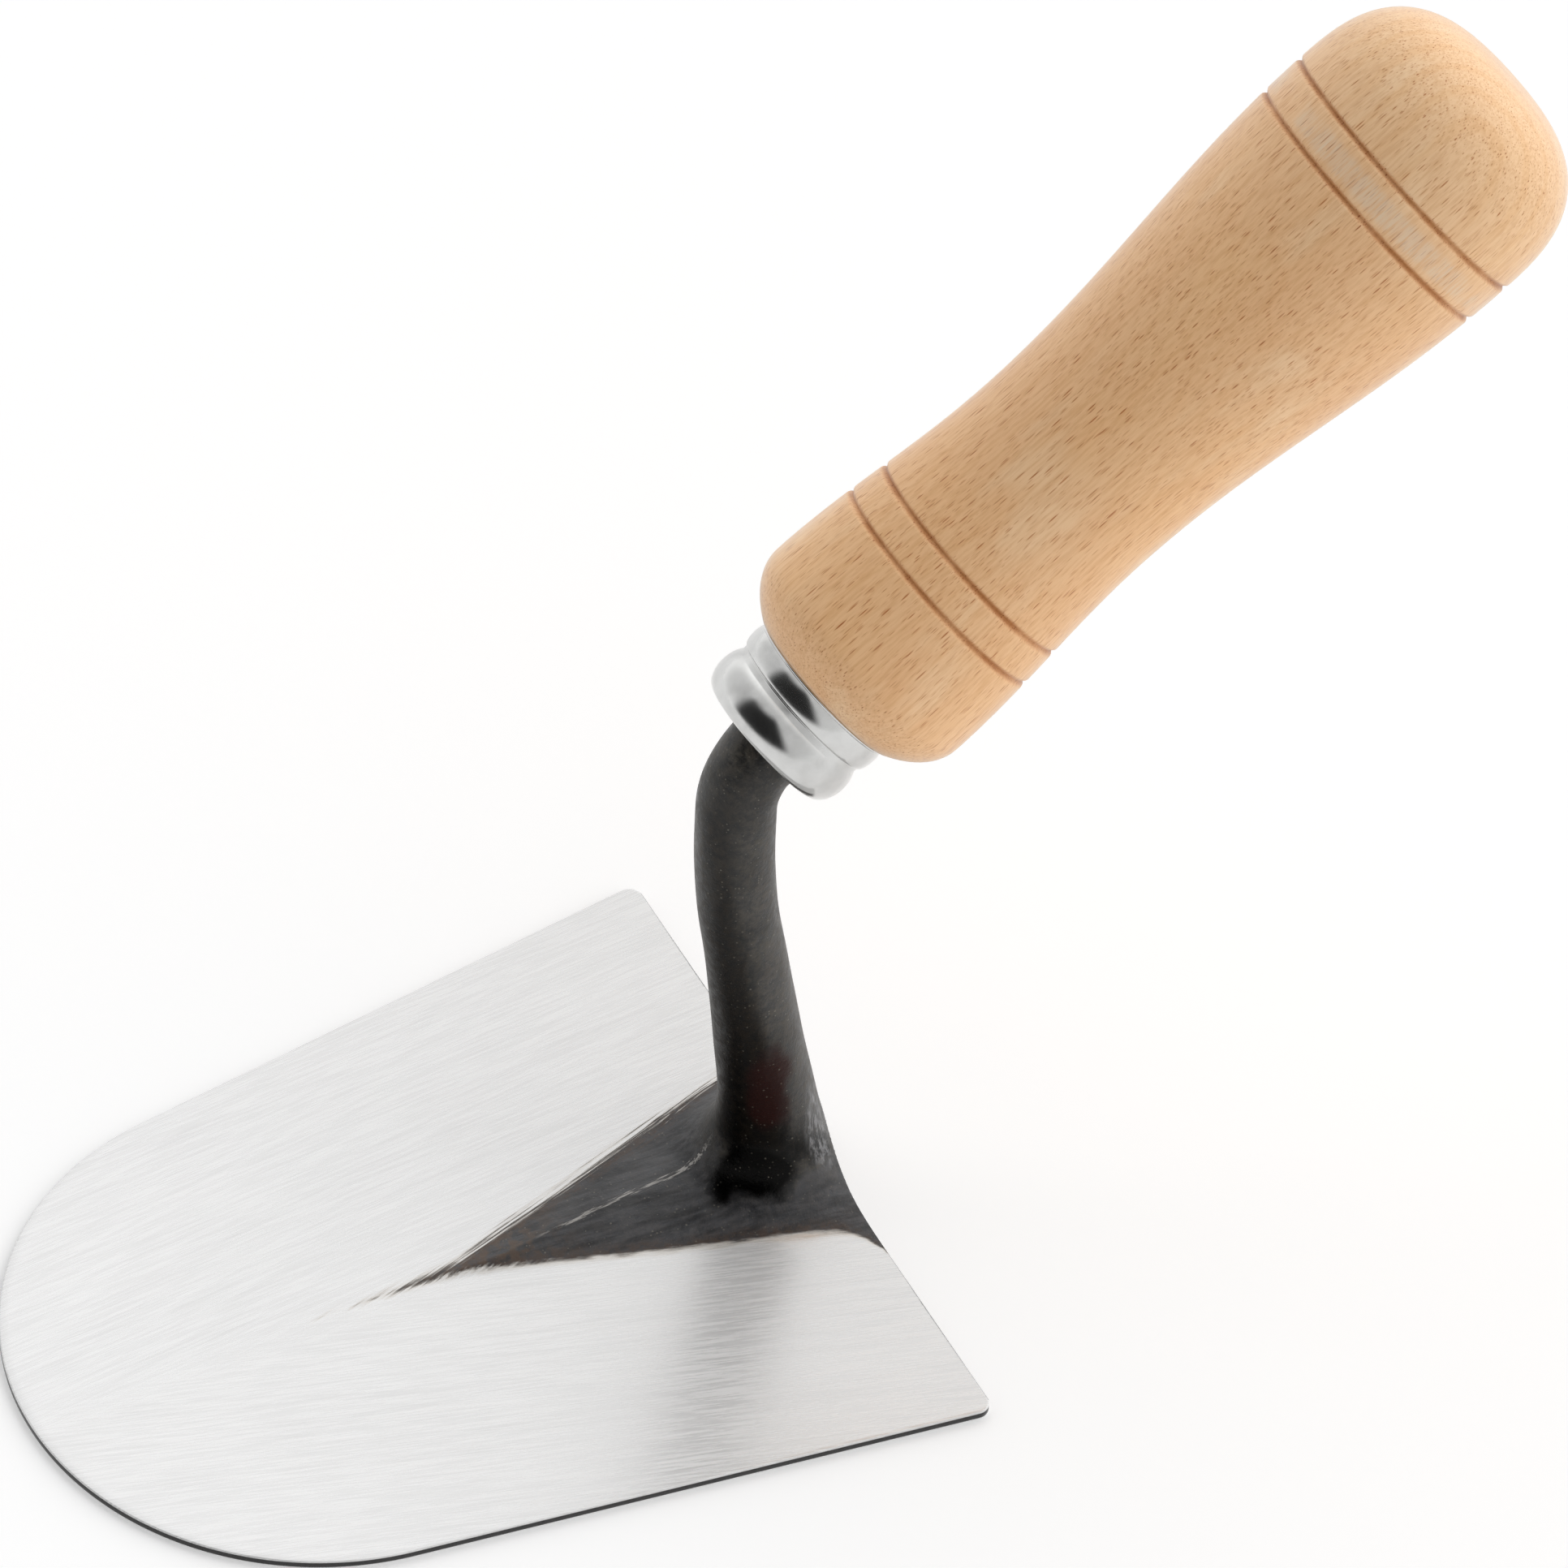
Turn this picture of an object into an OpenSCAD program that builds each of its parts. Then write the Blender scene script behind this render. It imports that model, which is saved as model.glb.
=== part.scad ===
// Round-nosed gauging trowel: a one-piece forging (blade, spine, neck and hidden tang),
// a drawn steel ferrule, and a turned beech handle driven onto the tang.
// +X runs from the nose to the handle, +Z is up, and the blade's sole is the plane z = 0.
// The origin is on the sole, under the foot of the neck.

/* [Blade] */
// Width of the blade along its straight heel
heel_w = 108; // [90:1:120]
// Distance from the origin back to the heel edge
heel_x = 9; // [8:0.5:10]
// Radius of the round nose
nose_r = 43.1; // [38:0.1:45]
// Taper of each side, as the tangent of its angle to the middle line
side_slope = 0.136; // [0.12:0.002:0.15]
// Radius of the two heel corners
heel_corner_r = 2; // [1:0.1:5]
// Thickness of the blade at its edge
blade_t = 1.3; // [1:0.1:2]

/* [Spine] */
// Length of the forged spine, measured forward from the heel
spine_l = 60; // [50:1:70]
// Half width of the spine at the heel
spine_half_w = 15.5; // [12:0.5:20]
// Height of the spine over the blade, in front of the neck
spine_h = 1.7; // [1:0.1:2.5]

/* [Neck] */
// Radius of the neck below the ferrule
neck_r = 5.5; // [5:0.1:5.9]
// Radius that the neck gains towards its foot, before it flares
neck_swell = 1.8; // [1:0.1:2]
// Forward lean of the lower neck, in degrees
neck_lean = 9.3; // [6:0.1:12]
// Radius of the slow bend that brings the neck upright
slow_bend_r = 150; // [120:5:180]
// Radius of the tight bend under the ferrule
tight_bend_r = 14; // [12:0.5:16]
// How far the foot flares forward where it meets the blade
foot_flare_x = 12; // [6:0.5:14]
// How far the foot flares back where it meets the blade
foot_flare_back = 4.5; // [3:0.5:6]
// How far the foot flares sideways where it meets the blade
foot_flare_y = 12; // [8:0.5:13]

/* [Tang] */
// Length of the hidden square tang behind the shoulder
tang_l = 72; // [50:1:80]
// Width of the tang at the shoulder
tang_w = 7.6; // [6:0.1:8.4]
// Width of the tang at its tip
tang_tip_w = 3.2; // [2:0.1:4]

/* [Ferrule] */
// Largest radius of the rolled front bead
bead_r = 11.9; // [11.6:0.1:12.2]
// Length of the rolled front bead
bead_l = 7.1; // [6.6:0.1:7.2]
// Radius at the bottom of the groove behind the bead
ferrule_groove_r = 11.05; // [10.9:0.05:11.2]
// Radius of the collar behind the groove
collar_r = 11.8; // [11.6:0.1:12.2]
// Length of the ferrule that shows in front of the wood
ferrule_l = 11.3; // [10.8:0.1:12]
// Radius of the mouth that the neck enters
mouth_r = 7.2; // [6.8:0.1:7.6]

/* [Handle] */
// Angle of the handle over the blade, in degrees
handle_angle = 36.7; // [34:0.1:40]
// Length of the wood that shows
wood_l = 122.8; // [121:0.2:130]
// Radius of the rounded crown next to the ferrule
crown_r = 18; // [17:0.1:19]
// Radius of the waist
waist_r = 15.85; // [15:0.05:16.5]
// Radius of the swell at the butt
swell_r = 20.5; // [19:0.1:21]
// Squareness of the butt, where 2 is an ellipse
butt_power = 2.8; // [2:0.1:3]
// Depth of the turned V grooves
groove_d = 0.5; // [0.3:0.1:1]
// Half width of the turned V grooves
groove_half_w = 0.6; // [0.4:0.1:1]

/* [Hidden] */
// Clearance left between pieces that are driven together
gap = 0.05;
// Centre of the ferrule's front plane, on the handle's axis
ferrule_x = -3.3;
ferrule_z = 87.7;
// How far inside the ferrule the tight bend ends, and how far below the handle's axis
bend_end = 1.7;
neck_drop = 1.2;
// Height and length of the upset bulge on the inside of the tight bend
bulge_h = 1.5;
bulge_l = 12;
// Depth of the shoulder behind the ferrule's front plane
shoulder_d = 3;
// Stations along the handle's axis, measured back from the ferrule's front plane
wood_front = ferrule_l;
crown_at = wood_front + 7.5;
crown_round = 10.4;
grooves = [31.6, 37.2, 108.4, 114.7];
waist_at = 54.6;
swell_at = 114.7;
wood_end = wood_front + wood_l;
// Wall of the ferrule, and the tenon that fills it
ferrule_wall = 1;
tenon_r = ferrule_groove_r - ferrule_wall - gap;
tenon_from = shoulder_d + 1.2;
// Spare depth of the blind hole past the tip of the tang
hole_spare = 3;
// Facets of round things and of lofted sections
$fn = 96;
ring_n = 32;

// Outline of the blade: two tapering sides that run tangent into the round nose
side_a = atan(side_slope);
nose_x = heel_x - (heel_w / 2 - nose_r / cos(side_a)) / side_slope;
corner_x = heel_x - heel_corner_r;
corner_y = heel_w / 2 - heel_corner_r * (side_slope + 1 / cos(side_a));
side_out = [-sin(side_a), cos(side_a)];

// Neck path in the plane y = 0, worked back from the ferrule to the blade
axis_dir = [cos(handle_angle), sin(handle_angle)];
axis_down = [sin(handle_angle), -cos(handle_angle)];
bend_to = [ferrule_x, ferrule_z] + bend_end * axis_dir + neck_drop * axis_down;
tight_c = bend_to + tight_bend_r * axis_down;
upright = tight_c - [tight_bend_r, 0];
slow_c = upright + [slow_bend_r, 0];
lean_top = slow_c - slow_bend_r * [cos(neck_lean), sin(neck_lean)];

function mix(a, b, t) = a + (b - a) * t;
// Point on a circle about c, where angle 0 is the point straight ahead of c
function on_bend(c, r, a) = c - r * [cos(a), sin(a)];

// Flat back of the foot, a hair inside the heel edge
foot_back_x = heel_x - 0.06;
// Height at which the neck starts to swell towards its foot
swell_top = 52;
// Neck stations: [x, z, lean of the section's normal from upright, height over the sole]
lean_n = 22;
slow_n = 8;
tight_n = 12;
lean_stations = [
    for (i = [0 : lean_n - 1])
        let (z = mix(0.4, lean_top[1], pow(i / lean_n, 1.6)))
        [lean_top[0] + (lean_top[1] - z) * tan(neck_lean), z, -neck_lean * min(1, z / 30)]
];
slow_stations = [
    for (i = [0 : slow_n - 1])
        let (a = neck_lean * (1 - i / slow_n), p = on_bend(slow_c, slow_bend_r, a))
        [p[0], p[1], -a]
];
tight_stations = [
    for (i = [0 : tight_n])
        let (a = (90 - handle_angle) * i / tight_n, p = on_bend(tight_c, tight_bend_r, -a))
        [p[0], p[1], a]
];
neck_stations = concat(lean_stations, slow_stations, tight_stations);

// Half depth and half width of the neck at a height over the sole
function neck_plain(z) = neck_r + neck_swell * pow(max(0, 1 - z / swell_top), 1.3);
function neck_front(z) = neck_plain(z) + foot_flare_x * exp(-z / 4.5);
function neck_back(z) = neck_plain(z) + foot_flare_back * exp(-z / 4);
function neck_width(z) = neck_plain(z) + foot_flare_y * exp(-z / 4);
// Bulge on the inside of the tight bend, where lean is the turn from upright so far
function neck_bulge(lean, a) =
    lean > 0 && cos(a) > 0 ? bulge_h * pow(cos(a), 2) * exp(-pow((90 - handle_angle - lean) / bulge_l, 2)) : 0;

// One ring of the neck: an oval square to the path, with the back of the foot flush with the heel
function neck_ring(s) = [
    for (k = [0 : ring_n - 1])
        let (
            a = 360 * (k + 0.5) / ring_n,
            free = cos(a) * (cos(a) > 0 ? neck_back(s[1]) : neck_front(s[1])) + neck_bulge(s[2], a),
            d = s[1] < swell_top ? min(free, (foot_back_x - s[0]) / cos(s[2])) : free
        )
        [s[0] + d * cos(s[2]), neck_width(s[1]) * sin(a), s[1] - d * sin(s[2])]
];

// Mean of a ring's points
function middle(ring) = [for (p = ring) 1] * ring / len(ring);

// Closed skin over a list of rings of n points each, with a fan round the middle of each flat end
module skin(rings, n) {
    last = len(rings) - 1;
    low_middle = len(rings) * n;
    high_middle = low_middle + 1;
    sides = [
        for (i = [0 : last - 1], k = [0 : n - 1])
            let (a = i * n + k, b = i * n + (k + 1) % n)
            each [[a, a + n, b], [b, a + n, b + n]]
    ];
    ends = [
        for (k = [0 : n - 1])
            let (next = (k + 1) % n)
            each [[low_middle, k, next], [high_middle, last * n + next, last * n + k]]
    ];
    points = concat([for (r = rings) each r], [middle(rings[0]), middle(rings[last])]);
    polyhedron(points, concat(sides, ends), convexity = 4);
}

// Puts children, drawn about the Z axis, on the handle's axis with z = 0 at the ferrule's front
module on_handle_axis() {
    translate([ferrule_x, 0, ferrule_z])
        rotate([0, 90 - handle_angle, 0])
            children();
}

module blade_outline() {
    tangent_x = nose_x - nose_r * sin(side_a);
    tangent_y = nose_r * cos(side_a);
    side_x = corner_x + heel_corner_r * side_out[0];
    side_y = corner_y + heel_corner_r * side_out[1];
    polygon([
        [tangent_x, tangent_y],
        [side_x, side_y],
        [corner_x, corner_y],
        [heel_x, corner_y],
        [heel_x, -corner_y],
        [corner_x, -corner_y],
        [side_x, -side_y],
        [tangent_x, -tangent_y]
    ]);
    translate([nose_x, 0])
        circle(r = nose_r, $fn = 180);
    for (side = [-1, 1])
        translate([corner_x, side * corner_y])
            circle(r = heel_corner_r);
}

// Low roof that widens from a point on the blade to the foot of the neck
spine_n = 18;
roof_n = 12;
function spine_width(t) = spine_half_w * t + 0.3;
function spine_rise(t) = spine_h * pow(sin(90 * min(1, 1.6 * t)), 0.8) + 0.02;
function spine_ring(t) =
    let (x = mix(heel_x - spine_l, heel_x - 0.4, t))
    concat(
        [
            for (k = [0 : roof_n])
                let (u = 1 - 2 * k / roof_n)
                [x, u * spine_width(t), blade_t + spine_rise(t) * (1 - pow(abs(u), 1.4)) - 0.01]
        ],
        [[x, -spine_width(t), 0.4], [x, spine_width(t), 0.4]]
    );

module spine() {
    skin([for (i = [0 : spine_n]) spine_ring(i / spine_n)], roof_n + 3);
}

module neck() {
    skin([for (s = neck_stations) neck_ring(s)], ring_n);
}

// Square taper along +Z, widened by extra on each side
module tang_taper(length, extra) {
    tip = mix(tang_w, tang_tip_w, length / tang_l);
    skin([
        for (end = [[0, tang_w], [length, tip]])
            let (h = end[1] / 2 + extra)
            [[h, h, end[0]], [-h, h, end[0]], [-h, -h, end[0]], [h, -h, end[0]]]
    ], 4);
}

module forged_blade() {
    color([0.78, 0.79, 0.8]) {
        linear_extrude(height = blade_t)
            blade_outline();
        spine();
    }
    color([0.12, 0.11, 0.11]) {
        neck();
        on_handle_axis() {
            translate([neck_drop, 0, bend_end - 1])
                cylinder(r = neck_r - 0.4, h = shoulder_d - bend_end + 1);
            translate([0, 0, shoulder_d - 0.5])
                tang_taper(tang_l, 0);
        }
    }
}

// Quarter or half of an ellipse about [r, z], from angle a to angle b
function ellipse_arc(r, z, half_r, half_z, a, b, n) = [
    for (i = [0 : n])
        let (t = mix(a, b, i / n))
        [r + half_r * cos(t), z + half_z * sin(t)]
];

module ferrule() {
    bead_mid = bead_l / 2;
    bead_core = bead_r - 2.1;
    collar_mid = (bead_l + ferrule_l) / 2;
    outer = concat(
        ellipse_arc(bead_core, bead_mid, bead_r - bead_core, bead_mid, -90, 54, 14),
        [[ferrule_groove_r, bead_l]],
        ellipse_arc(collar_r - 0.6, collar_mid, 0.6, (ferrule_l - bead_l) / 2 - 0.2, -60, 40, 6),
        [[collar_r + 0.1, ferrule_l - gap]]
    );
    inner = [
        [tenon_r + gap, ferrule_l - gap],
        [tenon_r + gap, tenon_from - 1],
        [mouth_r + 1, ferrule_wall],
        [mouth_r, ferrule_wall],
        [mouth_r, 0.4]
    ];
    color([0.8, 0.81, 0.82])
        on_handle_axis()
            rotate_extrude()
                polygon(concat(outer, inner));
}

// Radius of the wood at a station on its axis, before the grooves are cut
function wood_r(a) =
    a < crown_at ? crown_r * sqrt(1 - pow((crown_at - a) / crown_round, 2)) :
    a < waist_at ? mix(crown_r, waist_r, (1 - cos(180 * (a - crown_at) / (waist_at - crown_at))) / 2) :
    a < swell_at ? mix(waist_r, swell_r, (1 - cos(180 * (a - waist_at) / (swell_at - waist_at))) / 2) :
    swell_r * pow(1 - pow((a - swell_at) / (wood_end - swell_at), butt_power), 1 / butt_power);
function groove_points(g) = [
    [wood_r(g - groove_half_w), g - groove_half_w],
    [wood_r(g) - groove_d, g],
    [wood_r(g + groove_half_w), g + groove_half_w]
];
function wood_points(from, to, n) = [
    for (i = [1 : n - 1])
        let (a = mix(from, to, i / n))
        [wood_r(a), a]
];

module handle() {
    profile = concat(
        [[0, tenon_from], [tenon_r, tenon_from], [tenon_r, wood_front]],
        [for (i = [0 : 8]) let (a = mix(wood_front, crown_at, sin(90 * i / 8))) [wood_r(a), a]],
        wood_points(crown_at, grooves[0] - groove_half_w, 6),
        groove_points(grooves[0]),
        wood_points(grooves[0] + groove_half_w, grooves[1] - groove_half_w, 3),
        groove_points(grooves[1]),
        wood_points(grooves[1] + groove_half_w, grooves[2] - groove_half_w, 22),
        groove_points(grooves[2]),
        wood_points(grooves[2] + groove_half_w, grooves[3] - groove_half_w, 3),
        groove_points(grooves[3]),
        [
            for (i = [0 : 16])
                let (a = mix(grooves[3] + groove_half_w + 0.4, wood_end, sin(90 * i / 16)))
                [max(0, wood_r(a)), a]
        ]
    );
    color([0.82, 0.65, 0.46])
        on_handle_axis()
            difference() {
                rotate_extrude()
                    polygon(profile);
                translate([0, 0, shoulder_d - 0.5])
                    tang_taper(tang_l + hole_spare, gap);
            }
}

forged_blade();
ferrule();
handle();
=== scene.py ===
import math

import bpy
import numpy as np
from mathutils import Matrix, Vector


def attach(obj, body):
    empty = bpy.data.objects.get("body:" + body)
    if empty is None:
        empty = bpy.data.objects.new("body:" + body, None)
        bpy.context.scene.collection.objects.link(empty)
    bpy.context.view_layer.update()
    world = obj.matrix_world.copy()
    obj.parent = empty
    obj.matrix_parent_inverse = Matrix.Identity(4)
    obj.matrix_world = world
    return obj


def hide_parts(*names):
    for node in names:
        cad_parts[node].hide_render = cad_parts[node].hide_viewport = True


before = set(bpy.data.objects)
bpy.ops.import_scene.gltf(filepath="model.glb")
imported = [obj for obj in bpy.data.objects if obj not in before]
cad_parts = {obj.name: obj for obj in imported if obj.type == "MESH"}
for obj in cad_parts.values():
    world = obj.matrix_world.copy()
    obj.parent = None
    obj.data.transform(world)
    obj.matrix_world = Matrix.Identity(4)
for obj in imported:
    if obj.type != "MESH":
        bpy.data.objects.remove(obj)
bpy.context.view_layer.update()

# Sizes are in millimetres, in the frame of the CAD part, and become metres in the meshes.
# +X runs from the nose to the handle, +Y is the left side and +Z is up.
MM = 0.001

# Blade
HEEL_X = 9.0
HEEL_W = 108.0
NOSE_R = 43.105
SIDE_SLOPE = 0.136
HEEL_CORNER_R = 2.0
BLADE_T = 1.3
EDGE_R = 0.22

# Spine on the blade
SPINE_L = 60.0
SPINE_HALF_W = 15.5
SPINE_H = 1.7
SPINE_FILLET = 0.14
CREST_X = -29.0
CREST_SLOPE = 0.09

# Neck and its foot
NECK_R = 5.5
NECK_SWELL = 1.8
NECK_LEAN = math.radians(9.3)
SLOW_BEND_R = 150.0
TIGHT_BEND_R = 14.0
SWELL_TOP = 52.0
FLARE_FRONT = 12.0
FLARE_BACK = 4.5
FLARE_SIDE = 12.0
FLARE_FRONT_H = 4.5
FLARE_SIDE_H = 4.0
FOOT_BACK_X = HEEL_X - 0.06
FOOT_BLEND = 0.55
BULGE_H = 1.8
BULGE_L = math.radians(17)

# Tang inside the wood
SHOULDER_D = 3.0
TANG_L = 72.0
TANG_W = 7.6
TANG_TIP_W = 3.2

# Handle's axis and the parts on it, by distance behind the ferrule's front
HANDLE_A = math.radians(36.7)
FERRULE_AT = np.array([-3.3, 0.0, 87.7])
AXIS = np.array([math.cos(HANDLE_A), 0.0, math.sin(HANDLE_A)])
AXIS_DOWN = np.array([math.sin(HANDLE_A), 0.0, -math.cos(HANDLE_A)])
NECK_DROP = 1.2
BEND_END = 1.7
FERRULE_L = 11.25
BEAD_L = 7.1
BEAD_R = 11.9
BEAD_CORE_R = 9.8
FERRULE_GROOVE_R = 11.05
COLLAR_R = 11.8
MOUTH_R = 7.2
FERRULE_WALL = 1.0
TENON_R = 10.0
TENON_FROM = 4.2
WOOD_FRONT = 11.3
WOOD_END = 134.085
CROWN_AT = 18.8
CROWN_ROUND = 10.4
CROWN_R = 18.0
WAIST_AT = 54.6
WAIST_R = 15.85
SWELL_AT = 114.7
SWELL_R = 20.48
BUTT_POWER = 2.8
GROOVES = (31.6, 37.2, 108.4, 114.7)
GROOVE_D = 0.5
GROOVE_HALF_W = 0.6
GROOVE_REACH = 1.1


# ---------------------------------------------------------------- meshes

def closed_skin(name, rings, first_pole, last_pole, crease_deg):
    """A closed mesh over an array of rings, each with the same number of points in turn.

    Four-sided faces join each ring to the next, and a fan of triangles closes each end at
    its pole point. Edges that turn by more than crease_deg are sharp, the others smooth.
    """
    count, around = rings.shape[:2]
    points = np.concatenate([rings.reshape(-1, 3), [first_pole], [last_pole]]) * MM
    ring_start = np.arange(count - 1)[:, None] * around
    k = np.arange(around)[None]
    k_next = (k + 1) % around
    quads = np.stack(
        [ring_start + k, ring_start + around + k, ring_start + around + k_next, ring_start + k_next],
        axis=-1,
    ).reshape(-1, 4)
    pole = count * around
    last = (count - 1) * around
    first_fan = np.stack([k[0], k_next[0], np.full(around, pole)], axis=-1)
    last_fan = np.stack([last + k_next[0], last + k[0], np.full(around, pole + 1)], axis=-1)
    mesh = bpy.data.meshes.new(name)
    mesh.from_pydata(points.tolist(), [], quads.tolist() + first_fan.tolist() + last_fan.tolist())
    mesh.validate()
    mesh.polygons.foreach_set("use_smooth", np.ones(len(mesh.polygons), bool))
    mesh.set_sharp_from_angle(angle=math.radians(crease_deg))
    mesh.update()
    piece = bpy.data.objects.new(name, mesh)
    bpy.context.scene.collection.objects.link(piece)
    return piece


def on_axis(radius, angle, station):
    """Points at a radius and an angle about the handle's axis, that far behind the ferrule's front.

    Angle 0 is the side that faces the blade, and the angle turns towards the left side.
    """
    radius, angle, station = np.broadcast_arrays(radius, angle, station)
    side = np.array([0.0, 1.0, 0.0])
    return (
        FERRULE_AT
        + station[..., None] * AXIS
        + (radius * np.cos(angle))[..., None] * AXIS_DOWN
        + (radius * np.sin(angle))[..., None] * side
    )


def square_radius(half_w, angle):
    """Radius of a square with rounded corners: the 8-norm of the direction, scaled to its half width."""
    return half_w / (np.abs(np.cos(angle)) ** 8 + np.abs(np.sin(angle)) ** 8) ** (1 / 8)


def soft_max(a, b, width):
    """The larger of a and b, with the corner between them rounded over that width."""
    return np.maximum(a, b) + width * np.log1p(np.exp(-np.abs(a - b) / width))


def blade_outline(heel_n, corner_n, side_n, nose_n, inset):
    """Half of the blade's outline, from the middle of the heel round to the tip of the nose.

    Straight heel, a small corner arc, a straight side that tapers at SIDE_SLOPE, and the nose
    arc that it runs into, all moved inwards by inset.
    """
    side_a = math.atan(SIDE_SLOPE)
    nose_x = HEEL_X - (HEEL_W / 2 - NOSE_R / math.cos(side_a)) / SIDE_SLOPE
    corner_x = HEEL_X - HEEL_CORNER_R
    corner_y = HEEL_W / 2 - HEEL_CORNER_R * (SIDE_SLOPE + 1 / math.cos(side_a))
    heel_y = np.linspace(0, 1, heel_n, endpoint=False) ** 0.9 * corner_y
    heel = np.stack([np.full(heel_n, HEEL_X - inset), heel_y], axis=-1)
    turn = np.linspace(0, math.pi / 2 + side_a, corner_n, endpoint=False)
    corner_r = HEEL_CORNER_R - inset
    corner = np.stack(
        [corner_x + corner_r * np.cos(turn), corner_y + corner_r * np.sin(turn)], axis=-1
    )
    side_dir = np.array([-math.sin(side_a), math.cos(side_a)])
    side_from = np.array([corner_x, corner_y]) + corner_r * side_dir
    side_to = np.array([nose_x, 0.0]) + (NOSE_R - inset) * side_dir
    side = side_from + np.linspace(0, 1, side_n, endpoint=False)[:, None] * (side_to - side_from)
    swing = (math.pi / 2 - side_a) * (1 - (1 - np.linspace(0, 1, nose_n)) ** 1.35)
    nose_a = math.pi / 2 + side_a + swing
    nose = np.stack(
        [nose_x + (NOSE_R - inset) * np.cos(nose_a), (NOSE_R - inset) * np.sin(nose_a)], axis=-1
    )
    return np.concatenate([heel, corner, side, nose])


def both_halves(half):
    """A closed ring from its left half: the half, then its mirror image in y back to the start."""
    mirror = half[-2:0:-1] * np.array([1.0, -1.0])
    return np.concatenate([half, mirror])


def spine_top(x, y):
    """Height of the upper face at a place on the blade.

    A flat plate with a low roof on it. The roof widens in a straight line from a point to the
    heel, rises as a quarter sine, and falls from its crest to its sides as 1 minus a power. The
    crest wanders a little across the middle line. A soft maximum with the plate rounds the line
    where they meet.
    """
    t = np.clip((x - (HEEL_X - SPINE_L)) / SPINE_L, 0, 1)
    rise = SPINE_H * np.sin(math.pi / 2 * np.minimum(1, 1.6 * t)) ** 0.8 + 0.03
    half_w = SPINE_HALF_W * t + 0.3
    crest_y = np.clip(CREST_SLOPE * (x - CREST_X), -0.4 * half_w, np.minimum(1.7, 0.4 * half_w))
    across = np.abs(y - crest_y) / (half_w - np.sign(y - crest_y) * crest_y)
    ahead = np.maximum(0, HEEL_X - SPINE_L - x)
    roof = rise * (1 - np.minimum(across, 12) ** 1.15) - ahead * 0.2
    return BLADE_T + soft_max(roof, 0, SPINE_FILLET) - SPINE_FILLET * 0.02


def neck_path():
    """Stations of the neck from the ferrule to the blade: place in the plane y = 0, and lean.

    A tight arc brings the neck upright, a slow arc leans it forward, and a straight leaning run
    with closer and closer stations takes it down to the blade, where the rings lie level.
    """
    flat = np.array([1.0, 0.0, 0.0])
    bend_to = FERRULE_AT + BEND_END * AXIS + NECK_DROP * AXIS_DOWN
    tight_c = bend_to + TIGHT_BEND_R * AXIS_DOWN
    slow_c = tight_c + (SLOW_BEND_R - TIGHT_BEND_R) * flat
    tight_a = np.linspace(math.pi / 2 - HANDLE_A, 0, 26, endpoint=False)
    tight = tight_c[[0, 2]] + TIGHT_BEND_R * np.stack([-np.cos(tight_a), np.sin(tight_a)], axis=-1)
    slow_a = np.linspace(0, NECK_LEAN, 16, endpoint=False)
    slow = slow_c[[0, 2]] - SLOW_BEND_R * np.stack([np.cos(slow_a), np.sin(slow_a)], axis=-1)
    lean_top = slow_c[[0, 2]] - SLOW_BEND_R * np.array([math.cos(NECK_LEAN), math.sin(NECK_LEAN)])
    z = 0.4 + (lean_top[1] - 0.4) * (1 - np.linspace(0, 1, 62)) ** 1.7
    lean = np.stack([lean_top[0] + (lean_top[1] - z) * math.tan(NECK_LEAN), z], axis=-1)
    turn = np.concatenate([tight_a, -slow_a, -NECK_LEAN * np.minimum(1, z / 30)])
    return np.concatenate([tight, slow, lean]), turn


def neck_rings(angle):
    """Rings of the neck: ovals square to its path, wider and deeper towards the foot.

    Each half axis is a radius that swells slowly over the lower neck plus a flare that dies away
    with height. The back of the foot stays flush with the heel, the inside of the tight bend
    carries an upset bulge, and slow sine lumps leave the hammered surface a little uneven.
    """
    place, turn = neck_path()
    z = place[:, 1:2]
    turn = turn[:, None]
    plain = NECK_R + NECK_SWELL * np.maximum(0, 1 - z / SWELL_TOP) ** 1.3
    front = plain + FLARE_FRONT * np.exp(-z / FLARE_FRONT_H)
    back = plain + FLARE_BACK * np.exp(-z / FLARE_SIDE_H)
    width = plain + FLARE_SIDE * np.exp(-z / FLARE_SIDE_H)
    a = angle[None]
    to_end = (math.pi / 2 - HANDLE_A - turn) / BULGE_L
    bulge = np.where(turn > 0, BULGE_H * np.maximum(0, np.cos(a)) ** 2 * np.exp(-(to_end ** 6)), 0)
    lumps = 0.09 * np.sin(z / 7.3 + 2 * a) * np.sin(z / 11.9 + 1.3 + a)
    lumps = lumps + 0.04 * np.sin(z / 3.1 - 3 * a + 0.6) * np.sin(z / 8.3 + 2 * a)
    lumps = lumps * np.clip((z - 6) / 10, 0, 1) * np.clip((84 - z) / 6, 0, 1)
    depth = np.cos(a) * (np.where(np.cos(a) > 0, back, front) + lumps) + bulge
    flush = (FOOT_BACK_X - place[:, 0:1]) / np.cos(turn)
    depth = np.where(z < SWELL_TOP, np.minimum(depth, flush), depth)
    return np.stack(
        [
            place[:, 0:1] + depth * np.cos(turn),
            (width + lumps) * np.sin(a),
            z - depth * np.sin(turn),
        ],
        axis=-1,
    )


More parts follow.
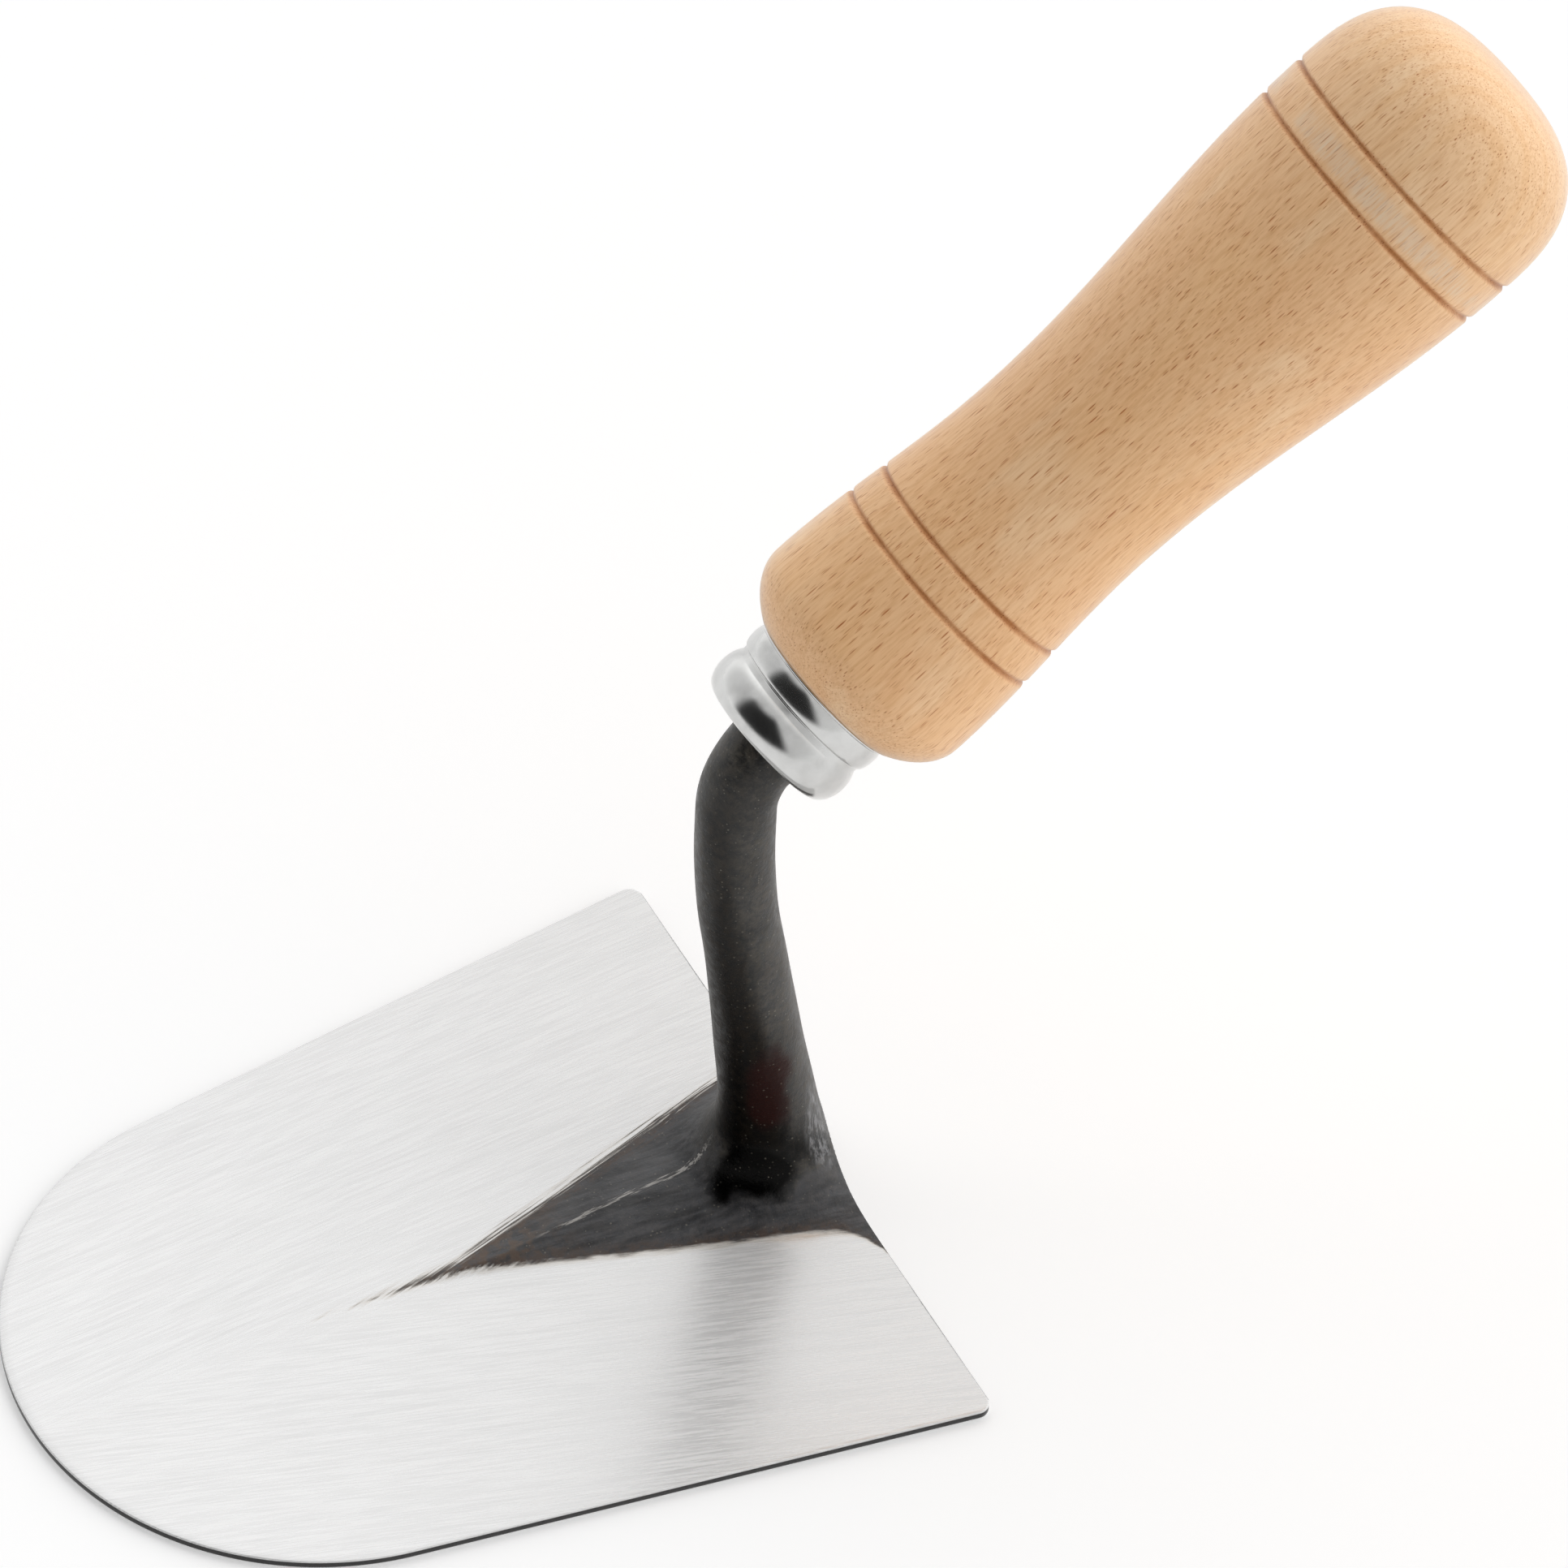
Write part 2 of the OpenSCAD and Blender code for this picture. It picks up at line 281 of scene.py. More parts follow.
def forged_blade():
    """Blade, spine, neck and tang as one closed skin of rings.

    The rings start at the tip of the square tang, run forward to the shoulder and down the neck,
    spread over the spine and the blade to the outline, turn down over the edge and close under
    the sole. On the blade a ring is a mix of the foot's ring and the outline, and its height is a
    soft maximum of the upper face and the foot's flare, which falls as a logarithm of distance.
    """
    # Points along half of the heel, its corner, the side and half of the nose
    counts = (34, 14, 48, 105)
    edge = blade_outline(*counts, 0.0)
    marks = np.cumsum((0,) + counts)
    # Where each of those points starts on the foot, in degrees round from its back
    foot_deg = np.interp(np.arange(len(edge)), marks[:4], (0, 62, 66, 104))
    nose_t = np.clip((np.arange(len(edge)) - marks[3]) / (counts[3] - 1), 0, 1)
    foot_deg = foot_deg + np.where(nose_t > 0, 76 * (1 - (1 - nose_t) ** 1.25), 0)
    half_a = np.radians(foot_deg)
    half_a[-1] = math.pi
    angle = np.concatenate([half_a, -half_a[-2:0:-1]])

    from_tip = np.linspace(0, 1, 7)[:, None]
    tang = on_axis(
        square_radius((TANG_TIP_W + (TANG_W - TANG_TIP_W) * from_tip) / 2, angle[None]),
        angle[None],
        SHOULDER_D + TANG_L * (1 - from_tip) - 0.5,
    )
    shoulder = on_axis(NECK_R - 0.4, angle[None], np.array([[SHOULDER_D], [SHOULDER_D - 0.4]]))
    shoulder = shoulder + NECK_DROP * AXIS_DOWN

    neck = neck_rings(angle)
    low = neck[-1, :, :2]
    top = spine_top(neck[..., 0], neck[..., 1])
    near_blade = neck[..., 2] < 26
    neck[..., 2] = np.where(near_blade, soft_max(neck[..., 2], top, FOOT_BLEND), neck[..., 2])

    out_t = (np.linspace(0, 1, 96)[1:] ** 1.25)[:, None, None]
    inset_ring = both_halves(blade_outline(*counts, EDGE_R))
    plan = low + out_t * (inset_ring - low)
    gone = np.linalg.norm(plan - low, axis=-1) + FLARE_FRONT
    flare = -FLARE_FRONT_H * np.log(gone / FLARE_FRONT) + 0.4
    face = soft_max(spine_top(plan[..., 0], plan[..., 1]), flare, FOOT_BLEND)
    settle = np.clip((1 - out_t[..., 0]) / 0.02, 0, 1)
    face = BLADE_T + (face - BLADE_T) * settle
    upper = np.concatenate([plan, face[..., None]], axis=-1)

    turn_a = np.radians([30, 60, 90])
    over = [
        np.insert(both_halves(blade_outline(*counts, EDGE_R * (1 - math.sin(a)))), 2,
                  BLADE_T - EDGE_R * (1 - math.cos(a)), axis=1)
        for a in turn_a
    ]
    under = [
        np.insert(both_halves(blade_outline(*counts, EDGE_R * (1 - math.cos(a)))), 2,
                  EDGE_R * (1 - math.sin(a)), axis=1)
        for a in np.radians([0, 30, 60, 90])
    ]
    middle = np.array([-45.0, 0.0])
    sole = [
        np.insert(middle + share * (inset_ring - middle), 2, 0.0, axis=1)
        for share in (0.8, 0.55, 0.3, 0.1)
    ]
    rings = np.concatenate([tang, shoulder, neck, upper, over, under, sole])
    tip = FERRULE_AT + (SHOULDER_D + TANG_L - 0.5) * AXIS
    return closed_skin("forged_blade_skin", rings, tip, np.append(middle, 0.0), 38)


def turned_skin(name, profile, around, crease_deg, hollow=None):
    """A closed skin turned about the handle's axis from a profile of (radius, station) points.

    The profile starts at one pole on the axis and ends at the other. Rings listed in hollow are
    rounded squares instead of circles.
    """
    angle = np.linspace(0, 2 * math.pi, around, endpoint=False)[None]
    inner = profile[1:-1]
    radius = np.repeat(inner[:, 0:1], around, axis=1)
    if hollow is not None:
        radius = np.where(hollow[1:-1, None], square_radius(radius, angle), radius)
    rings = on_axis(radius, angle, inner[:, 1:2])
    poles = [FERRULE_AT + profile[i, 1] * AXIS for i in (0, -1)]
    return closed_skin(name, rings, poles[0], poles[1], crease_deg)


def wood_radius(station):
    """Radius of the wood before its grooves: a quarter ellipse up to the crown, cosine blends
    down to the waist and up to the swell, and a squarish quarter ellipse over the butt."""
    s = np.asarray(station, float)
    crown = CROWN_R * np.sqrt(np.maximum(0, 1 - ((CROWN_AT - s) / CROWN_ROUND) ** 2))
    fall = (1 - np.cos(math.pi * (s - CROWN_AT) / (WAIST_AT - CROWN_AT))) / 2
    rise = (1 - np.cos(math.pi * (s - WAIST_AT) / (SWELL_AT - WAIST_AT))) / 2
    to_end = np.clip((s - SWELL_AT) / (WOOD_END - SWELL_AT), 0, 1)
    butt = SWELL_R * (1 - to_end ** BUTT_POWER) ** (1 / BUTT_POWER)
    return np.select(
        [s < CROWN_AT, s < WAIST_AT, s < SWELL_AT],
        [crown, CROWN_R + (WAIST_R - CROWN_R) * fall, WAIST_R + (SWELL_R - WAIST_R) * rise],
        butt,
    )


def handle():
    """The turned wood: butt, swell, waist and crown with four V grooves, a tenon and a tang hole.

    Each groove takes a depth away that falls off as a bell over its half width.
    """
    butt_s = WOOD_END - (WOOD_END - SWELL_AT - 1.2) * (1 - np.sin(np.linspace(0, math.pi / 2, 44)))
    plain_s = np.linspace(CROWN_AT, SWELL_AT + 1.2, 150)
    groove_s = np.concatenate([g + np.linspace(-GROOVE_REACH, GROOVE_REACH, 15) for g in GROOVES])
    far_from_groove = np.abs(plain_s[:, None] - np.array(GROOVES)).min(axis=1) > GROOVE_REACH
    crown_s = WOOD_FRONT + (CROWN_AT - WOOD_FRONT) * np.sin(np.linspace(0, math.pi / 2, 20))
    stations = np.unique(np.concatenate([butt_s, plain_s[far_from_groove], groove_s, crown_s]))[::-1]
    dip = np.exp(-((stations[:, None] - np.array(GROOVES)) / (GROOVE_HALF_W * 0.62)) ** 2)
    radius = wood_radius(stations) - GROOVE_D * dip.sum(axis=1)
    outside = np.stack([radius, stations], axis=-1)[1:]
    hole_r = TANG_W / 2 + 0.1
    inside = np.array([
        [TENON_R, WOOD_FRONT],
        [TENON_R, TENON_FROM + 0.4],
        [TENON_R - 0.4, TENON_FROM],
        [hole_r + 1.0, TENON_FROM],
        [hole_r, TENON_FROM],
        [hole_r, TENON_FROM + 0.5],
        [TANG_TIP_W / 2 + 0.1, SHOULDER_D + TANG_L + 2],
    ])
    profile = np.concatenate([
        [[0, WOOD_END]],
        outside,
        inside,
        [[0, SHOULDER_D + TANG_L + 2]],
    ])
    hollow = np.arange(len(profile)) >= len(profile) - 5
    return turned_skin("turned_handle", profile, 176, 50, hollow)


def ferrule():
    """The rolled ferrule as a closed skin round its own wall.

    A fat bead whose lip rolls in to the mouth, a narrow groove, and a barrel collar that ends
    against the wood. Inside, a straight bore for the tenon steps in to the mouth.
    """
    def arc(centre_r, centre_s, half_r, half_s, start, end, n):
        a = np.radians(np.linspace(start, end, n))
        return np.stack([centre_r + half_r * np.cos(a), centre_s + half_s * np.sin(a)], axis=-1)

    bead_mid = BEAD_L / 2
    collar_mid = (BEAD_L + FERRULE_L) / 2
    section = np.concatenate([
        [[MOUTH_R, 0.9]],
        arc(MOUTH_R + 0.5, 0.5, 0.5, 0.5, 180, 270, 6),
        arc(BEAD_CORE_R, bead_mid, BEAD_R - BEAD_CORE_R, bead_mid, -90, 52, 30),
        arc(FERRULE_GROOVE_R + 0.28, BEAD_L + 0.02, 0.26, 0.26, 215, 150, 7),
        arc(COLLAR_R - 0.62, collar_mid, 0.62, (FERRULE_L - BEAD_L) / 2 - 0.1, -62, 50, 18),
        arc(COLLAR_R - 0.25, FERRULE_L - 0.28, 0.26, 0.24, -30, 90, 7),
        [
            [TENON_R + 0.1, FERRULE_L],
            [TENON_R + 0.1, TENON_FROM - 1],
            [MOUTH_R + 1.6, FERRULE_WALL + 0.3],
            [MOUTH_R + 0.4, FERRULE_WALL],
        ],
    ])
    around = 192
    angle = np.linspace(0, 2 * math.pi, around, endpoint=False)
    rings = on_axis(section[:, 0:1], angle[None], section[:, 1:2])
    count = len(section)
    ring = np.arange(count)[:, None]
    ring_next = (ring + 1) % count
    k = np.arange(around)[None]
    k_next = (k + 1) % around
    quads = np.stack(
        [ring * around + k, ring * around + k_next, ring_next * around + k_next, ring_next * around + k],
        axis=-1,
    ).reshape(-1, 4)
    mesh = bpy.data.meshes.new("rolled_ferrule")
    mesh.from_pydata((rings.reshape(-1, 3) * MM).tolist(), [], quads.tolist())
    mesh.validate()
    mesh.polygons.foreach_set("use_smooth", np.ones(len(mesh.polygons), bool))
    mesh.set_sharp_from_angle(angle=math.radians(50))
    mesh.update()
    piece = bpy.data.objects.new("rolled_ferrule", mesh)
    bpy.context.scene.collection.objects.link(piece)
    return piece


# ---------------------------------------------------------------- node helpers

class Wiring:
    """Short ways to add and join nodes in one node tree."""

    def __init__(self, tree):
        self.tree = tree

    def node(self, kind, **settings):
        """A new node of a kind, with its settings."""
        made = self.tree.nodes.new(kind)
        for name, value in settings.items():
            setattr(made, name, value)
        return made

    def feed(self, socket, value):
        """Link a value to a socket, or set the socket to it if it is a plain number or colour."""
        if isinstance(value, bpy.types.NodeSocket):
            self.tree.links.new(value, socket)
        else:
            socket.default_value = value

    def math(self, operation, a, b=None):
        """One step of arithmetic on one or two values."""
        made = self.node("ShaderNodeMath", operation=operation)
        for socket, value in zip(made.inputs, (a, b)):
            if value is not None:
                self.feed(socket, value)
        return made.outputs[0]

    def times(self, first, *others):
        """Product of several values."""
        for other in others:
            first = self.math("MULTIPLY", first, other)
        return first

    def around_zero(self, value, size):
        """A noise from 0 to 1, moved to lie round 0 and multiplied by size."""
        return self.times(self.math("SUBTRACT", value, 0.5), size)

    def between(self, value, rise, fall):
        """1 between two smooth ramps and 0 outside them, each given as its two ends."""
        return self.times(self.ease(value, *rise), self.ease(value, *fall, 1.0, 0.0))

    def ease(self, value, low, high, to_low=0.0, to_high=1.0):
        """Smooth step from to_low to to_high, while a value goes from low to high."""
        made = self.node("ShaderNodeMapRange", interpolation_type="SMOOTHSTEP")
        for name, given in (("Value", value), ("From Min", low), ("From Max", high),
                            ("To Min", to_low), ("To Max", to_high)):
            self.feed(made.inputs[name], given)
        return made.outputs["Result"]

    def blend(self, share, a, b):
        """Colour a at share 0 and colour b at share 1."""
        made = self.node("ShaderNodeMix", data_type="RGBA")
        self.feed(made.inputs[0], share)
        self.feed(made.inputs[6], a)
        self.feed(made.inputs[7], b)
        return made.outputs[2]

    def tint(self, share, a, b):
        """Colour a multiplied by colour b, as far as share."""
        made = self.node("ShaderNodeMix", data_type="RGBA", blend_type="MULTIPLY")
        self.feed(made.inputs[0], share)
        self.feed(made.inputs[6], a)
        self.feed(made.inputs[7], b)
        return made.outputs[2]

    def level(self, share, a, b):
        """Number a at share 0 and number b at share 1."""
        made = self.node("ShaderNodeMix", data_type="FLOAT")
        self.feed(made.inputs[0], share)
        self.feed(made.inputs[2], a)
        self.feed(made.inputs[3], b)
        return made.outputs[0]

    def placed(self, vector, location=(0, 0, 0), rotation=(0, 0, 0), scale=(1, 1, 1)):
        """A vector that is scaled, turned and moved."""
        made = self.node("ShaderNodeMapping")
        self.feed(made.inputs["Vector"], vector)
        made.inputs["Location"].default_value = location
        made.inputs["Rotation"].default_value = rotation
        made.inputs["Scale"].default_value = scale
        return made.outputs[0]

    def parts(self, vector):
        """The x, y and z of a vector, or the three channels of a colour."""
        made = self.node("ShaderNodeSeparateXYZ")
        self.feed(made.inputs[0], vector)
        return made.outputs

    def group(self, tree, **values):
        """The outputs of a node group with the given inputs."""
        made = self.node("ShaderNodeGroup", node_tree=tree)
        for name, value in values.items():
            self.feed(made.inputs[name.replace("_", " ")], value)
        return made.outputs

    def noise(self, vector, scale, detail=3.0, roughness=0.55):
        """Noise from 0 to 1."""
        made = self.node("ShaderNodeTexNoise")
        for name, value in (("Vector", vector), ("Scale", scale), ("Detail", detail),
                            ("Roughness", roughness)):
            self.feed(made.inputs[name], value)
        return made.outputs[0]


def new_group(name, inputs, outputs):
    """An empty shader node group with the named inputs, given as (name, kind, value), and outputs."""
    tree = bpy.data.node_groups.new(name, "ShaderNodeTree")
    for label, kind, value in inputs:
        socket = tree.interface.new_socket(label, in_out="INPUT", socket_type=kind)
        if value is not None:
            socket.default_value = value
    for label, kind in outputs:
        tree.interface.new_socket(label, in_out="OUTPUT", socket_type=kind)
    wires = Wiring(tree)
    return tree, wires, wires.node("NodeGroupInput").outputs, wires.node("NodeGroupOutput").inputs


VECTOR = "NodeSocketVector"
FLOAT = "NodeSocketFloat"


def hairlines_group():
    """Fine lines along the first axis of a vector: noise that is stretched along that axis."""
    tree, w, given, out = new_group(
        "hairlines",
        [("Vector", VECTOR, None), ("Along", FLOAT, 120.0), ("Across", FLOAT, 2500.0),
         ("Detail", FLOAT, 2.0)],
        [("Lines", FLOAT)],
    )
    x, y, z = w.parts(given["Vector"])
    joined = w.node("ShaderNodeCombineXYZ")
    w.feed(joined.inputs[0], w.math("MULTIPLY", x, given["Along"]))
    w.feed(joined.inputs[1], w.math("MULTIPLY", y, given["Across"]))
    w.feed(joined.inputs[2], w.math("MULTIPLY", z, given["Across"]))
    w.feed(out["Lines"], w.noise(joined.outputs[0], 1.0, given["Detail"], 0.6))
    return tree


def specks_group():
    """Scattered specks: cells of a Voronoi pattern whose random number passes Share, each shown
    only close to its centre. Stretch in the vector makes dashes of them."""
    tree, w, given, out = new_group(
        "specks",
        [("Vector", VECTOR, None), ("Scale", FLOAT, 1000.0), ("Size", FLOAT, 0.25),
         ("Share", FLOAT, 0.3)],
        [("Mask", FLOAT), ("Random", FLOAT)],
    )
    cells = w.node("ShaderNodeTexVoronoi", feature="F1")
    w.feed(cells.inputs["Vector"], given["Vector"])
    w.feed(cells.inputs["Scale"], given["Scale"])
    random = w.parts(cells.outputs["Color"])
    chosen = w.math("LESS_THAN", random[0], given["Share"])
    size = w.math("MULTIPLY", given["Size"], w.math("ADD", random[1], 0.5))
    near = w.ease(cells.outputs["Distance"], w.math("MULTIPLY", size, 0.4), size, 1.0, 0.0)
    w.feed(out["Mask"], w.math("MULTIPLY", chosen, near))
    w.feed(out["Random"], random[2])
    return tree


def clouds_group():
    """Soft uneven patches from 0 to 1, with their edges set by Low and High."""
    tree, w, given, out = new_group(
        "clouds",
        [("Vector", VECTOR, None), ("Scale", FLOAT, 40.0), ("Low", FLOAT, 0.35),
         ("High", FLOAT, 0.65)],
        [("Mask", FLOAT)],
    )
    patches = w.noise(given["Vector"], given["Scale"], 4.0, 0.55)
    w.feed(out["Mask"], w.ease(patches, given["Low"], given["High"]))
    return tree


def near_spot_group():
    """Distance from a spot, where 1 is the surface of an ellipsoid with the given half axes."""
    tree, w, given, out = new_group(
        "near_spot",
        [("Vector", VECTOR, None), ("Centre", VECTOR, (0, 0, 0)), ("Radii", VECTOR, (1, 1, 1))],
        [("Distance", FLOAT)],
    )
    offset = w.node("ShaderNodeVectorMath", operation="SUBTRACT")
    w.feed(offset.inputs[0], given["Vector"])
    w.feed(offset.inputs[1], given["Centre"])
    share = w.node("ShaderNodeVectorMath", operation="DIVIDE")
    w.feed(share.inputs[0], offset.outputs[0])
    w.feed(share.inputs[1], given["Radii"])
    length = w.node("ShaderNodeVectorMath", operation="LENGTH")
    w.feed(length.inputs[0], share.outputs[0])
    w.feed(out["Distance"], length.outputs["Value"])
    return tree


HAIRLINES = hairlines_group()
SPECKS = specks_group()
CLOUDS = clouds_group()
NEAR_SPOT = near_spot_group()


def new_material(name):
    """A material with its Principled shader, and the wiring to add to it."""
    material = bpy.data.materials.new(name)
    material.use_nodes = True
    shader = material.node_tree.nodes["Principled BSDF"]
    return material, Wiring(material.node_tree), shader


def relief(w, height, distance):
    """The normal of a bump, where a height of 1 stands that many metres high."""
    made = w.node("ShaderNodeBump")
    w.feed(made.inputs["Height"], height)
    made.inputs["Distance"].default_value = distance
    made.inputs["Strength"].default_value = 1.0
    return made.outputs[0]


# ---------------------------------------------------------------- finishes

# Level direction of the neck's side where thick lacquer is painted darkest as shade: to the front and to
# the right
FRONT_RIGHT = (-0.81, -0.586, 0.0)


def lines_along(w, place, turn_deg, along, across, detail, about="Z"):
    """Hairlines that run along the tool, turned to its right about Z or upwards about Y."""
    turn = math.radians(turn_deg)
    rotation = (0, 0, turn) if about == "Z" else (0, turn, 0)
    turned = w.placed(place, rotation=rotation)
    return w.group(HAIRLINES, Vector=turned, Along=along, Across=across, Detail=detail)["Lines"]


def off_spot(w, in_mm, centre, radii):
    """Distance from a spot on the forging, where 1 is the surface of its ellipsoid."""
    return w.group(NEAR_SPOT, Vector=in_mm, Centre=centre, Radii=radii)["Distance"]


def lacquer_depth(w, place, x, y, left_half):
    """How far inside the lacquer's edge a place on the blade is, in millimetres.

    The edge is a wedge that widens to the heel and flares at it, with a long thin tip. It is
    ragged: finely on the right side and in long brushed streaks on the left.
    """
    wedge = w.math("MULTIPLY", w.math("ADD", x, 48.0), 0.31)
    to_heel = w.math("EXPONENT", w.math("DIVIDE", w.math("SUBTRACT", x, HEEL_X), 1.6))
    tip = w.math("MULTIPLY", w.math("ADD", x, 55.5), 0.085)
    half_w = w.math("ADD", w.math("MAXIMUM", wedge, tip), w.math("MULTIPLY", to_heel, 5.0))
    right_rag = lines_along(w, place, 17, 260.0, 1300.0, 5.0)
    left_rag = lines_along(w, place, -17, 55.0, 2600.0, 6.0)
    rag = w.math(
        "ADD",
        w.around_zero(right_rag, w.level(left_half, 1.8, 0.0)),
        w.around_zero(left_rag, w.level(left_half, 0.0, 6.5)),
    )
    return w.math("ADD", w.math("SUBTRACT", half_w, w.math("ABSOLUTE", y)), rag)


def bare_crest(w, place, x, y, z):
    """Where the lacquer is scratched off along the spine's crest, less and less to the tip."""
    crest = w.math("MULTIPLY", w.math("SUBTRACT", x, CREST_X), CREST_SLOPE)
    crest = w.math("MINIMUM", w.math("MAXIMUM", crest, -0.5), 1.7)
    scratches = lines_along(w, place, -5, 330.0, 3400.0, 4.0)
    off_crest = w.math("ABSOLUTE", w.math("SUBTRACT", y, crest))
    near_crest = w.ease(off_crest, 0.0, w.ease(x, -32.0, -14.0, 0.7, 1.4), 0.2, -0.2)
    worn = w.ease(w.math("ADD", scratches, near_crest), 0.6, 0.74)
    on_length = w.between(x, (-35.0, -31.0), (-8.0, -5.5))
    return w.times(worn, on_length, w.between(z, (2.0, 2.3), (8.0, 11.0)))


def ground_steel(w, place, x, z, left_half, depth):
    """Colour, metal, roughness and grinding lines of the steel.

    The lines run along the wedge's edge on the right half and nearly lengthwise on the left. The
    steel is stained brown close to the lacquer and black on its thin edge, and the heel's top edge
    is painted black as shade.
    """
    def on_both_halves(along, across, detail):
        right = lines_along(w, place, 16, along, across, detail)
        left = lines_along(w, place, -4, along, across, detail)
        return w.level(left_half, right, left)

    lines = on_both_halves(130.0, 2900.0, 5.0)
    long_lines = on_both_halves(40.0, 1100.0, 4.0)
    haze = w.group(CLOUDS, Vector=place, Scale=30.0, Low=0.3, High=0.7)["Mask"]
    strokes = w.ease(lines, 0.3, 0.7)
    steel = w.blend(strokes, (0.775, 0.775, 0.773, 1), (0.875, 0.875, 0.872, 1))
    steel = w.tint(w.math("MULTIPLY", haze, 0.1), steel, (0.82, 0.82, 0.82, 1))
    steel = w.tint(w.ease(long_lines, 0.45, 0.7, 0.0, 0.16), steel, (0.8, 0.8, 0.8, 1))
    # Painted shade: the steel darkens slowly from the nose towards the heel
    steel = w.tint(w.ease(x, -120.0, 20.0, 0.0, 0.55), steel, (0.8, 0.8, 0.795, 1))
    stain = w.math("MULTIPLY", w.ease(depth, -1.3, -0.1), w.ease(z, 0.8, 1.2, 0.0, 0.55))
    steel = w.tint(stain, steel, (0.72, 0.65, 0.56, 1))
    # Painted shade: the rounded top of the heel's edge is painted black
    heel_edge_shade = w.math("MULTIPLY", w.ease(x, HEEL_X - 0.16, HEEL_X - 0.08), w.ease(z, 0.12, 0.25))
    # Black on the thin edge wall, joined with the painted shade along the heel
    scale = w.math("MAXIMUM", w.between(z, (0.12, 0.25), (1.02, 1.16)), heel_edge_shade)
    steel = w.blend(scale, steel, (0.028, 0.027, 0.027, 1))
    return steel, w.level(scale, 0.26, 0.3), w.level(strokes, 0.2, 0.34), lines


def black_lacquer(w, place, in_mm, depth):
    """Colour, metal, roughness and grain of the lacquer.

    Streaky and thin on the spine, thick down one side of the neck with painted shade making that
    side near black, brown at the spine's tip and along the edge, red low on the neck, gathered
    thick in front of the foot with a painted dark reflection and a painted highlight on its lower
    edge, rubbed grey on the foot's right side, and dusty all over.
    """
    x, y, z = w.parts(in_mm)
    grain = w.noise(place, 800.0, 5.0, 0.65)
    patches = w.group(CLOUDS, Vector=place, Scale=130.0, Low=0.35, High=0.7)["Mask"]
    low_down = w.ease(z, 3.0, 8.0, 1.0, 0.0)
    black = w.blend(patches, (0.009, 0.0088, 0.0075, 1), (0.027, 0.0265, 0.0235, 1))
    strips = w.ease(lines_along(w, place, 6, 110.0, 900.0, 5.0), 0.35, 0.65)
    on_spine = w.blend(strips, (0.008, 0.0085, 0.011, 1), (0.05, 0.052, 0.06, 1))
    black = w.blend(low_down, black, on_spine)

    # Thick runs down the neck, with painted shade that makes the side facing front and right near black
    front = w.node("ShaderNodeVectorMath", operation="DOT_PRODUCT")
    w.feed(front.inputs[0], w.node("ShaderNodeTexCoord").outputs["Normal"])
    front.inputs[1].default_value = FRONT_RIGHT
    runs = lines_along(w, place, 80, 45.0, 420.0, 4.0, about="Y")
    spread = w.math("ADD", front.outputs["Value"], w.around_zero(runs, 0.35))
    thick_runs_and_shade = w.ease(spread, w.ease(z, 20.0, 70.0, 0.5, 0.8), w.ease(z, 20.0, 70.0, 0.85, 1.05))
    black = w.blend(w.ease(runs, 0.35, 0.65, 0.0, 0.5), black, (0.036, 0.036, 0.038, 1))
    on_height = w.math("MULTIPLY", w.ease(z, 7.0, 13.0), w.ease(z, 60.0, 92.0, 1.0, 0.35))
    thick_runs_and_shade = w.math("MULTIPLY", thick_runs_and_shade, on_height)
    # Painted shade: the side facing front and right is painted near black, from low on the neck upwards
    black = w.blend(thick_runs_and_shade, black, (0.0065, 0.005, 0.0035, 1))

    # Mottling, strongest up the neck, then brown at the tip and along the edge
    mottle = w.ease(grain, 0.35, 0.65)
    mottled = w.ease(z, 3.0, 8.0, 0.35, 0.9)
    black = w.tint(mottled, black, w.blend(mottle, (0.3, 0.28, 0.25, 1), (2.1, 1.8, 1.45, 1)))
    brown = w.math("MULTIPLY", w.ease(x, -26.0, -40.0), w.ease(w.noise(place, 700.0, 4.0), 0.42, 0.6))
    black = w.blend(w.math("MULTIPLY", brown, 0.8), black, (0.085, 0.05, 0.028, 1))
    rim = w.math("MULTIPLY", w.ease(depth, 0.1, 2.6, 1.0, 0.0), low_down)
    rim = w.math("MULTIPLY", rim, w.ease(grain, 0.4, 0.6, 0.2, 0.8))
    black = w.blend(rim, black, (0.06, 0.035, 0.022, 1))

    # Red patch low on the neck, and lacquer gathered in front of the foot, painted near black as a
    # dark reflection, with a painted highlight along its lower outline
    wavy = w.around_zero(w.noise(place, 150.0, 2.5, 0.45), 1.7)
    red = w.math("ADD", off_spot(w, in_mm, (-2.0, -5.7, 23.5), (4.2, 3.6, 10.0)), wavy)
    red = w.ease(red, 0.5, 1.05, 0.9, 0.0)
    black = w.blend(red, black, (0.024, 0.0035, 0.002, 1))
    pool_and_reflection_reach = off_spot(w, in_mm, (-1.2, -5.0, 8.4), (11.0, 5.8, 8.0))
    pool_and_reflection_reach = w.math("ADD", pool_and_reflection_reach, w.math("MULTIPLY", wavy, 0.8))
    pooled_and_painted_dark = w.ease(pool_and_reflection_reach, w.ease(z, 7.0, 12.0, 0.7, 0.3), w.ease(z, 7.0, 12.0, 1.0, 1.1), 1.0, 0.0)
    # Painted highlight: a pale grey line along the lower outline of the lacquer gathered at the foot
    pool_painted_highlight = w.between(pool_and_reflection_reach, (0.95, 1.08), (1.05, 1.35))
    pool_painted_highlight = w.math("MULTIPLY", pool_painted_highlight, w.ease(z, 7.0, 11.0, 0.4, 0.0))
    pool_painted_highlight = w.math("MULTIPLY", pool_painted_highlight, w.ease(patches, 0.2, 0.8, 0.3, 1.0))
    black = w.blend(pool_painted_highlight, black, (0.1, 0.1, 0.11, 1))
